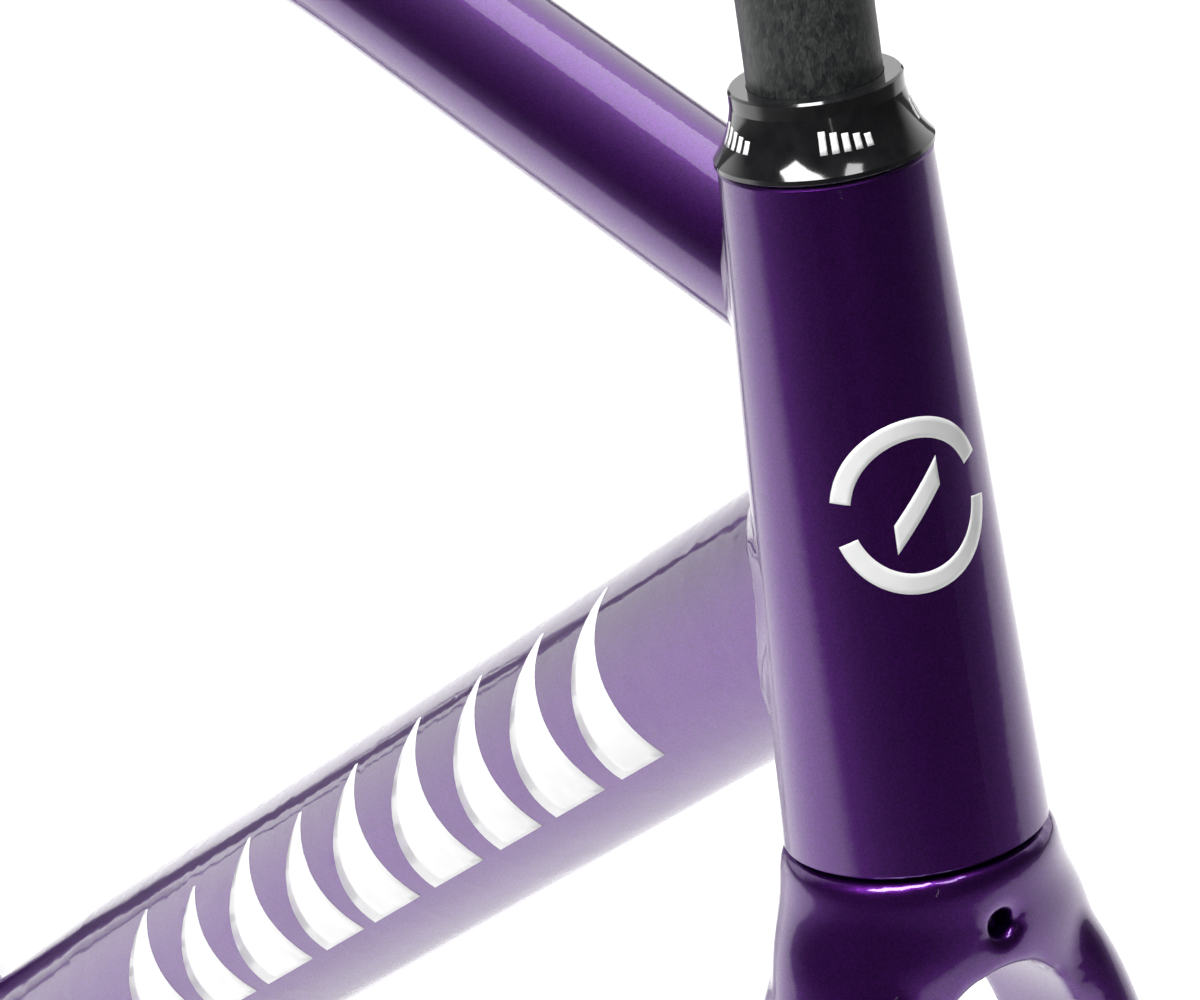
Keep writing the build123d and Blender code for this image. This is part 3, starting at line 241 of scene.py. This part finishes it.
WHITE = plain_material(
    "white_graphic", (0.82, 0.82, 0.82), (0.90, 0.90, 0.90), 0.0, (0.18, 0.26),
    scale=120.0, coat=0.8, grain=0.02,
)

SLOT_MATERIALS = {
    "frame_paint": PAINT,
    "fork_paint": PAINT,
    "carbon": CARBON,
    "black_anodised": BLACK,
    "fork_end_alloy": SATIN,
    "fastener_steel": STEEL,
    "compression_alloy": ALLOY,
    "bearing_steel": BEARING,
    "cage_plastic": NYLON,
    "seal_rubber": RUBBER,
}


def dress_nodes():
    """Give every carried-over node its material."""
    for entry in frame["record"]["subparts"]:
        node = NODES[entry["node"]]
        for place in node.material_slots:
            place.material = SLOT_MATERIALS[entry["material_slot"]]


# ---- Mesh helpers ----
def finish_piece(name, mesh, material, body):
    """Make an object from a mesh, shaded smooth, riding on a body."""
    piece = bpy.data.objects.new(name, mesh)
    bpy.context.scene.collection.objects.link(piece)
    mesh.materials.clear()
    mesh.materials.append(material)
    for face in mesh.polygons:
        face.use_smooth = True
    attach(piece, body)
    return piece


def tree_of(*names):
    """Search tree over the surfaces of some nodes."""
    gathered = bmesh.new()
    for name in names:
        gathered.from_mesh(NODES[name].data)
    tree = BVHTree.FromBMesh(gathered)
    gathered.free()
    return tree


def mesh_from_grid(name, rows, closed_across, closed_along):
    """Mesh through rows of points; each row may close on itself, and the last row may join the first."""
    mesh = bmesh.new()
    grid = [[mesh.verts.new(point) for point in row] for row in rows]
    across = len(rows[0]) if closed_across else len(rows[0]) - 1
    along = len(rows) if closed_along else len(rows) - 1
    for i in range(along):
        for j in range(across):
            here, there = grid[i], grid[(i + 1) % len(rows)]
            k = (j + 1) % len(rows[0])
            mesh.faces.new((here[j], here[k], there[k], there[j]))
    if not closed_along:
        mesh.faces.new(grid[0][::-1])
        mesh.faces.new(grid[-1])
    bmesh.ops.recalc_face_normals(mesh, faces=mesh.faces)
    data = bpy.data.meshes.new(name)
    mesh.to_mesh(data)
    mesh.free()
    return data


# ---- Weld beads ----
def rising(degrees):
    """Direction that points forward and rises at an angle."""
    return Vector((math.cos(math.radians(degrees)), 0, math.sin(math.radians(degrees))))


SEAM_STEPS = 220
CAST_REACH = 60 * MM            # how far from a tube's axis the rays start
STATION_GAP = 6 * MM            # between the two stations that give a tube's run
SEAM_BACK = 3 * MM              # from the seam to where the tube's surface is read again
RIPPLE_SHARE = 0.04
RIPPLE_LENGTH = 1.5 * MM
BEAD_SINK = 0.08 * MM           # how far a bead's edges lie under the surfaces
BEAD_ROOT = 0.8 * MM
BEAD_BEND = 0.20                # how far the fillet's middle stands off the seam, as a share of its reach
BEAD_STEPS = 6
# The frame's lines, in millimetres from the bottom bracket.
TOP_TUBE_DROP = 34.1
TOP_TUBE_RUN = rising(0.8)
TOP_TUBE_REAR_RUN = rising(42.11)
TOP_TUBE_MEETS_SEAT = 312
SEAT_UP = Vector((-math.cos(math.radians(72)), 0, math.sin(math.radians(72))))
SEATSTAY_TOP = SEAT_UP * 265
SEATSTAY_DOWN = (Vector((-366, 0, 44)) - SEATSTAY_TOP).normalized()


def smooth_loop(values, rounds):
    """Average each vector with its neighbours round a closed loop."""
    for _ in range(rounds):
        values = [
            (values[i - 1] + values[i] * 2 + values[(i + 1) % len(values)]) / 4
            for i in range(len(values))
        ]
    return values


def seam_loop(tube_tree, target_tree, start, direction):
    """Where a tube's outside runs into its target, all round: points and both surfaces' normals."""
    side = direction.orthogonal().normalized()
    points, tube_normals, target_normals = [], [], []
    for step in range(SEAM_STEPS):
        outward = Matrix.Rotation(2 * math.pi * step / SEAM_STEPS, 3, direction) @ side
        far = tube_tree.ray_cast(start + outward * CAST_REACH, -outward)[0]
        near = tube_tree.ray_cast(start + direction * STATION_GAP + outward * CAST_REACH, -outward)[0]
        if far is None or near is None:
            continue
        run = (near - far).normalized()
        seam = target_tree.ray_cast(near, run)[0]
        if seam is None:
            continue
        back = tube_tree.find_nearest(seam - run * STATION_GAP)[0]
        close, tube_normal = tube_tree.find_nearest(seam - run * SEAM_BACK)[:2]
        run = (close - back).normalized()
        seam, target_normal = target_tree.ray_cast(close, run)[:2]
        if seam is None:
            continue
        points.append(seam)
        tube_normals.append(tube_normal)
        target_normals.append(target_normal)
    return smooth_loop(points, 2), smooth_loop(tube_normals, 4), smooth_loop(target_normals, 4)


def weld_bead(name, tube, target, width, start, direction):
    """Smoothed weld: a concave fillet from a tube to what it meets, with faint ripples."""
    target_tree = tree_of(target)
    tube_tree = tree_of(tube)
    points, tube_normals, target_normals = seam_loop(tube_tree, target_tree, start, direction)
    rows = []
    travelled = 0.0
    for i, point in enumerate(points):
        tube_normal = tube_normals[i].normalized()
        target_normal = target_normals[i].normalized()
        across = (tube_normal - target_normal * tube_normal.dot(target_normal)).normalized()
        reach = width * (1 + RIPPLE_SHARE * math.sin(travelled / RIPPLE_LENGTH))
        first = tube_tree.find_nearest(point - direction * reach)[0] - tube_normal * BEAD_SINK
        last = target_tree.find_nearest(point + across * reach)[0] - target_normal * BEAD_SINK
        bend = point + (across - direction) * reach * BEAD_BEND
        shares = [step / BEAD_STEPS for step in range(BEAD_STEPS + 1)]
        row = [first.lerp(bend, t).lerp(bend.lerp(last, t), t) for t in shares]
        root = point - (tube_normal + target_normal).normalized() * BEAD_ROOT
        rows.append(row + [root])
        travelled += (points[(i + 1) % len(points)] - point).length
    mesh = mesh_from_grid(name, rows, True, True)
    return finish_piece(name, mesh, PAINT, "frame")


def weld_all():
    """Beads at the frame's joints, each found from a point on a tube, looking along it to its target."""
    head_top = HEAD_TOP / MM
    top_tube_point = head_top - UP * TOP_TUBE_DROP - TOP_TUBE_RUN * 60
    down_tube_run = DOWN_TUBE_TOP.normalized()
    down_tube_point = down_tube_run * (DOWN_TUBE_TOP.length / MM - 70)
    rear_point = SEAT_UP * TOP_TUBE_MEETS_SEAT + TOP_TUBE_REAR_RUN * 50
    welds = [
        ("top_tube_head", "top_tube", "head_tube", 3.4, top_tube_point, TOP_TUBE_RUN),
        ("down_tube_head", "down_tube", "head_tube", 4.0, down_tube_point, down_tube_run),
        ("top_tube_seat", "top_tube", "seat_tube", 2.8, rear_point, -TOP_TUBE_REAR_RUN),
        ("down_tube_shell", "down_tube", "bb_shell", 3.0, down_tube_run * 60, -down_tube_run),
        ("seat_tube_shell", "seat_tube", "bb_shell", 2.6, SEAT_UP * 60, -SEAT_UP),
    ]
    for side, sign in (("left", 1), ("right", -1)):
        outward = LEFT * sign
        chainstay = f"chainstay_{side}"
        seatstay = f"seatstay_{side}"
        stay_run = -(SEATSTAY_DOWN * 0.939 + outward * 0.3435).normalized()
        stay_point = SEATSTAY_TOP + SEATSTAY_DOWN * 60 + outward * 30.1
        bridge_point = SEATSTAY_TOP + SEATSTAY_DOWN * 68 + outward * 15
        chain_run = Vector((0.9968, -0.0797 * sign, 0)).normalized()
        chain_point = Vector((-50, 37 * sign, 0))
        chain_bridge_point = Vector((-72, 20 * sign, 0))
        welds += [
            (f"chainstay_shell_{side}", chainstay, "bb_shell", 2.4, chain_point, chain_run),
            (seatstay, seatstay, "seat_tube", 2.0, stay_point, stay_run),
            (f"chainstay_bridge_{side}", "chainstay_bridge", chainstay, 1.6, chain_bridge_point, outward),
            (f"seatstay_bridge_{side}", "seatstay_bridge", seatstay, 1.6, bridge_point, outward),
        ]
    for name, tube, target, width, point, run in welds:
        weld_bead("weld_" + name, tube, target, width * MM, point * MM, run)


# ---- Fork shell ----
SHELL_VOXEL = 0.9 * MM
SHELL_SMOOTHING = 24            # rounds


def fork_shell():
    """Crown and legs as one moulded, painted shell, with the joints between them smoothed away."""
    names = ("fork_crown", "fork_leg_left", "fork_leg_right")
    gathered = bmesh.new()
    for name in names:
        gathered.from_mesh(NODES[name].data)
    data = bpy.data.meshes.new("fork_shell_source")
    gathered.to_mesh(data)
    gathered.free()
    source = bpy.data.objects.new("fork_shell_source", data)
    bpy.context.scene.collection.objects.link(source)
    remesh = source.modifiers.new("remesh", "REMESH")
    remesh.mode = "VOXEL"
    remesh.voxel_size = SHELL_VOXEL
    graph = bpy.context.evaluated_depsgraph_get()
    mesh = bpy.data.meshes.new_from_object(source.evaluated_get(graph))
    bpy.data.objects.remove(source)
    work = bmesh.new()
    work.from_mesh(mesh)
    axes = {"use_axis_x": True, "use_axis_y": True, "use_axis_z": True}
    for _ in range(SHELL_SMOOTHING):
        bmesh.ops.smooth_vert(work, verts=work.verts, factor=0.5, **axes)
    work.to_mesh(mesh)
    work.free()
    mesh.name = "fork_shell"
    piece = finish_piece("fork_shell", mesh, PAINT, "fork")
    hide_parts(*names)
    return piece


# ---- Graphics ----
GRAPHIC_LIFT = 0.06 * MM
GRAPHIC_THICKNESS = 0.06 * MM


def wrapped_patch(name, tree, foot, axis, reference, radius, outline_grid, body, slot="frame_paint"):
    """Thin printed patch on a tube. Its grid holds distances (along the axis, round the tube)."""
    rows = []
    for row in outline_grid:
        points = []
        for along, around in row:
            outward = Matrix.Rotation(around / radius, 3, axis) @ reference
            start = foot + axis * along + outward * radius * 3
            hit, normal, _, _ = tree.ray_cast(start, -outward)
            points.append(hit + normal * GRAPHIC_LIFT)
        rows.append(points)
    mesh = bmesh.new()
    grid = [[mesh.verts.new(point) for point in row] for row in rows]
    for i in range(len(rows) - 1):
        for j in range(len(rows[0]) - 1):
            mesh.faces.new((grid[i][j], grid[i][j + 1], grid[i + 1][j + 1], grid[i + 1][j]))
    bmesh.ops.remove_doubles(mesh, verts=mesh.verts, dist=1e-6)
    bmesh.ops.recalc_face_normals(mesh, faces=mesh.faces)
    data = bpy.data.meshes.new(name)
    mesh.to_mesh(data)
    mesh.free()
    piece = finish_piece(name, data, WHITE, body)
    thick = piece.modifiers.new("thickness", "SOLIDIFY")
    thick.thickness = GRAPHIC_THICKNESS
    thick.offset = 0
    return piece


def slanted_bar(along, width, low, high, slant, steps=14):
    """Grid of a slanted bar: where its foot starts, its width, its lower and upper edge, its lean."""
    grid = []
    for i in range(steps + 1):
        share = i / steps
        around = low + (high - low) * share
        lean = along + slant * share
        grid.append([(lean + width * j / 4, around) for j in range(5)])
    return grid


def ring_grid(along, around, inner, outer, start, turn, steps=72):
    """Grid of an arc of a ring, from a starting angle through a turn."""
    grid = []
    for i in range(steps + 1):
        angle = math.radians(start + turn * i / steps)
        row = []
        for j in range(5):
            radius = inner + (outer - inner) * j / 4
            row.append((along + radius * math.sin(angle), around + radius * math.cos(angle)))
        grid.append(row)
    return grid


BADGE_ABOVE = 5.0 * MM          # badge's middle above the head tube's
BADGE_TURN = math.radians(-12)
BADGE_INNER = 14.5 * MM
BADGE_OUTER = 19.0 * MM
HEAD_TUBE_RADIUS = 25.7 * MM


def head_badge():
    """Plain generic badge: a broken ring round a slanted bar."""
    tree = tree_of("head_tube")
    facing = Matrix.Rotation(BADGE_TURN, 3, UP) @ FORWARD
    settings = (tree, HEAD_MIDDLE, UP, facing, HEAD_TUBE_RADIUS)
    for name, start in (("badge_ring_lower", 200), ("badge_ring_upper", 20)):
        arc = ring_grid(BADGE_ABOVE, 0, BADGE_INNER, BADGE_OUTER, start, 150)
        wrapped_patch(name, *settings, arc, "frame")
    bar = slanted_bar(BADGE_ABOVE - 9.5 * MM, 6.4 * MM, -5.8 * MM, 5.8 * MM, 12.6 * MM)
    wrapped_patch("badge_bar", *settings, bar, "frame")


def shard(along, base, tip, low, high, bow, steps=20):
    """Grid of a pointed stroke across a tube: where its base starts, its widths, its ends, its bow."""
    grid = []
    for i in range(steps + 1):
        share = i / steps
        around = low + (high - low) * share
        width = base + (tip - base) * share ** 1.6
        start = along + (base - width) * 0.7 - bow * math.sin(math.pi * share)
        grid.append([(start + width * j / 4, around) for j in range(5)])
    return grid


SHARDS = [                               # gap before the stroke, base width, height, in millimetres
    (0, 32, 36), (7, 26, 34), (8, 30, 38),
    (9, 24, 36), (7, 28, 40), (9, 29, 42),
    (10, 24, 43), (8, 27, 44), (9, 23, 46),
]


STROKES_FROM = 395 * MM         # first stroke's distance below the head tube's joint
STROKE_FOOT = 18 * MM           # round the tube, below its side
STROKE_TIP = 1.5 * MM
STROKE_BOW = 3 * MM
DOWN_TUBE_RADIUS = 26.0 * MM


def down_tube_graphics():
    """Row of pointed strokes on both sides of the down tube."""
    tree = tree_of("down_tube")
    axis = DOWN_TUBE_TOP.normalized()
    for side, sign in (("right", 1), ("left", -1)):
        settings = (tree, Vector((0, 0, 0)), axis, LEFT * -sign, DOWN_TUBE_RADIUS)
        along = DOWN_TUBE_TOP.length - STROKES_FROM
        for i, (gap, base, height) in enumerate(SHARDS):
            along += gap * MM
            top = STROKE_FOOT - height * MM
            grid = shard(along, base * MM, STROKE_TIP, sign * STROKE_FOOT, sign * top, STROKE_BOW)
            wrapped_patch(f"down_tube_stroke_{side}_{i + 1}", *settings, grid, "frame")
            along += base * MM


COVER_RADIUS = 21.0 * MM
MARKS_ABOVE = 6.0 * MM          # above the head tube's top
MARK_SPACING = 2.6


def cover_marks():
    """Short printed dashes round the headset cover's flare."""
    tree = tree_of("headset_cover")
    height = HEAD_HALF + MARKS_ABOVE
    for group, turn in enumerate((-100, -20, 60, 140)):
        reference = Matrix.Rotation(math.radians(turn), 3, UP) @ FORWARD
        for i in range(5):
            bar = slanted_bar(height, (4.6 - 0.5 * i) * MM, 0, 1.6 * MM, 0.0, steps=4)
            shifted = [[(a, b + (i * MARK_SPACING - 6) * MM) for a, b in row] for row in bar]
            name = f"cover_mark_{group + 1}_{i + 1}"
            settings = (tree, HEAD_MIDDLE, UP, reference, COVER_RADIUS)
            wrapped_patch(name, *settings, shifted, "fork", slot="black_anodised")


# ---- Stage ----
FLOOR_SIZE = 12.0
FLOOR_GAP = 0.002
# Painted light on the floor: it fades from pale round the bike to a dim painted shade further out, and its
# emission is a painted glow.
FLOOR_PALE = (0.93, 0.93, 0.93)
FLOOR_PAINTED_SHADE = (0.12, 0.12, 0.12)
FLOOR_PAINTED_GLOW = 0.20
PAINTED_POOL_MIDDLE = (0.10, 0.50)
PAINTED_POOL_RADIUS = 1.5
PAINTED_POOL_FADE_RADIUS = 1.95
ROOM_BACK = (-0.857, 0.515, 0.0)         # horizontal direction of the bright backdrop


def make_stage():
    """Pale floor with a painted pool of light, brightest round the bike, fading to painted shade further out, and
    a painted glow.
    """
    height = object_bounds()[0][2] - FLOOR_GAP
    mesh = bpy.data.meshes.new("floor")
    half = FLOOR_SIZE / 2
    signs = ((-1, -1), (1, -1), (1, 1), (-1, 1))
    corners = [(x * half, y * half, height) for x, y in signs]
    mesh.from_pydata(corners, [], [(0, 1, 2, 3)])
    floor = bpy.data.objects.new("floor", mesh)
    bpy.context.scene.collection.objects.link(floor)
    material, nodes, links, shader = new_material("floor_painted_light_pool")
    place = nodes.new("ShaderNodeTexCoord")
    reach = nodes.new("ShaderNodeVectorMath")
    reach.operation = "DISTANCE"
    links.new(place.outputs["Object"], reach.inputs[0])
    reach.inputs[1].default_value = (*PAINTED_POOL_MIDDLE, height)
    # Painted pool of light: the floor's colour dims with distance from a point near the bike.
    fade = nodes.new("ShaderNodeMapRange")
    fade.interpolation_type = "SMOOTHSTEP"
    fade.inputs["From Min"].default_value = PAINTED_POOL_RADIUS
    fade.inputs["From Max"].default_value = PAINTED_POOL_FADE_RADIUS
    links.new(reach.outputs["Value"], fade.inputs["Value"])
    tone = ramp(nodes, links, fade.outputs["Result"], [(0.0, FLOOR_PALE), (1.0, FLOOR_PAINTED_SHADE)])
    speck = texture(nodes, links, "ShaderNodeTexNoise", 60.0, Detail=2.0)
    grain = ramp(nodes, links, speck.outputs["Fac"], [(0.3, (0.98, 0.98, 0.98)), (0.7, (1.0, 1.0, 1.0))])
    shade = multiply_colour(nodes, links, tone, grain)
    links.new(shade, shader.inputs["Base Color"])
    # Painted glow: the floor emits its own pooled colour.
    links.new(shade, shader.inputs["Emission Color"])
    shader.inputs["Roughness"].default_value = 0.8
    shader.inputs["Emission Strength"].default_value = FLOOR_PAINTED_GLOW
    mesh.materials.append(material)


def make_room():
    """World whose brightness turns from bright behind the bike to dim before it."""
    world = bpy.data.worlds.new("room")
    bpy.context.scene.world = world
    world.use_nodes = True
    room = world.node_tree.nodes
    wires = world.node_tree.links
    direction = room.new("ShaderNodeTexCoord")
    facing = room.new("ShaderNodeVectorMath")
    facing.operation = "DOT_PRODUCT"
    wires.new(direction.outputs["Generated"], facing.inputs[0])
    facing.inputs[1].default_value = ROOM_BACK
    brightness = room.new("ShaderNodeMapRange")
    brightness.interpolation_type = "SMOOTHSTEP"
    brightness.inputs["From Min"].default_value = 0.25
    brightness.inputs["From Max"].default_value = 0.75
    brightness.inputs["To Min"].default_value = 0.03
    brightness.inputs["To Max"].default_value = 1.1
    wires.new(facing.outputs["Value"], brightness.inputs["Value"])
    room["Background"].inputs["Color"].default_value = (1.0, 0.99, 1.0, 1)
    wires.new(brightness.outputs["Result"], room["Background"].inputs["Strength"])
    bpy.context.scene.view_settings.view_transform = "Standard"


def soft_light(name, place, aim, width, height, power):
    """Rectangular soft light pointed at a place."""
    data = bpy.data.lights.new(name, "AREA")
    data.shape = "RECTANGLE"
    data.size = width
    data.size_y = height
    data.energy = power
    light = bpy.data.objects.new(name, data)
    light.location = place
    light.rotation_euler = (Vector(aim) - Vector(place)).to_track_quat("-Z", "Y").to_euler()
    bpy.context.scene.collection.objects.link(light)


def light_place(azimuth, elevation, distance):
    """Point at a distance from the head tube's middle, placed round and above the steering frame."""
    turn = math.radians(azimuth)
    rise = math.radians(elevation)
    level = FORWARD * math.cos(turn) - LEFT * math.sin(turn)
    return HEAD_MIDDLE + (level * math.cos(rise) + UP * math.sin(rise)) * distance


BACK_PANEL_PLACE = HEAD_MIDDLE + Vector((-1.3, 0.5, 1.9))
LIGHTS = [                               # name, place, width and height in metres, power in watts
    ("box_right", light_place(67, 60, 2.2), 0.8, 1.7, 74),
    ("box_left", light_place(-3, 58, 2.2), 0.5, 0.7, 9),
    ("back_panel", BACK_PANEL_PLACE, 1.8, 1.8, 22),
    ("front_strip", light_place(22, 2, 2.6), 0.06, 1.2, 0.5),
]


def make_lights():
    """Two overhead boxes in front, a dim strip between them and a wide panel over the back."""
    for name, place, width, height, power in LIGHTS:
        soft_light(name, place, HEAD_MIDDLE, width, height, power)


make_camera()
dress_nodes()
fork_shell()
weld_all()
head_badge()
down_tube_graphics()
cover_marks()
make_stage()
make_room()
make_lights()
